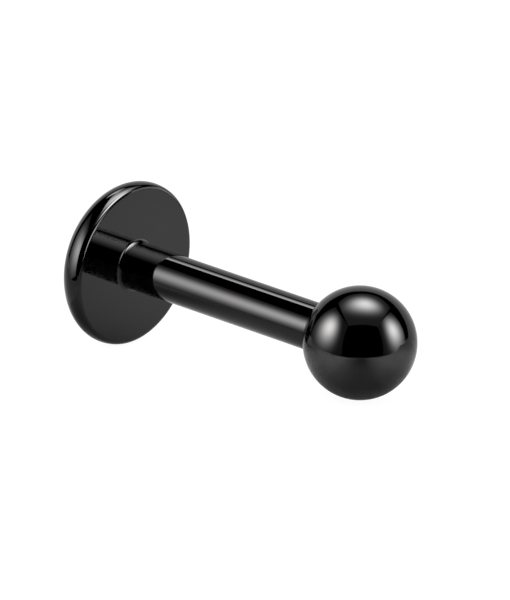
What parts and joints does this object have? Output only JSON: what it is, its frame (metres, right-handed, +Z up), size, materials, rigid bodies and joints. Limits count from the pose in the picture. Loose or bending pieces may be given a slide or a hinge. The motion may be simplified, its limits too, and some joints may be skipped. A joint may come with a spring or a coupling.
{
  "type": "labret stud",
  "caption": "Straight lip stud: a slim round post with a flat-faced, domed disc on one end and a screw-on ball on the other, in mirror-polished black steel.",
  "frame": {"origin": "on the surface that the stud lies on, under the middle of its bounding box", "axes": "+X runs along the surface from the disc's end to the ball's end, and +Z is up from the surface; the post's own axis dips by about five degrees towards the ball"},
  "size_m": [0.01, 0.0042, 0.0041],
  "materials": {
    "black_steel": "surgical steel, mirror-polished under a hard black vapour coating",
    "black_steel_ball": "surgical steel, mirror-polished under a hard black vapour coating"
  },
  "bodies": {
    "ball": {"ball": "black_steel_ball"},
    "post": {"disc_post": "black_steel"}
  },
  "joints": [
    {"name": "post_draw_out", "type": "slide", "parent": "ball", "child": "post", "axis": [-0.996, 0, 0.0892], "range_m": [0, 0.008]}
  ]
}
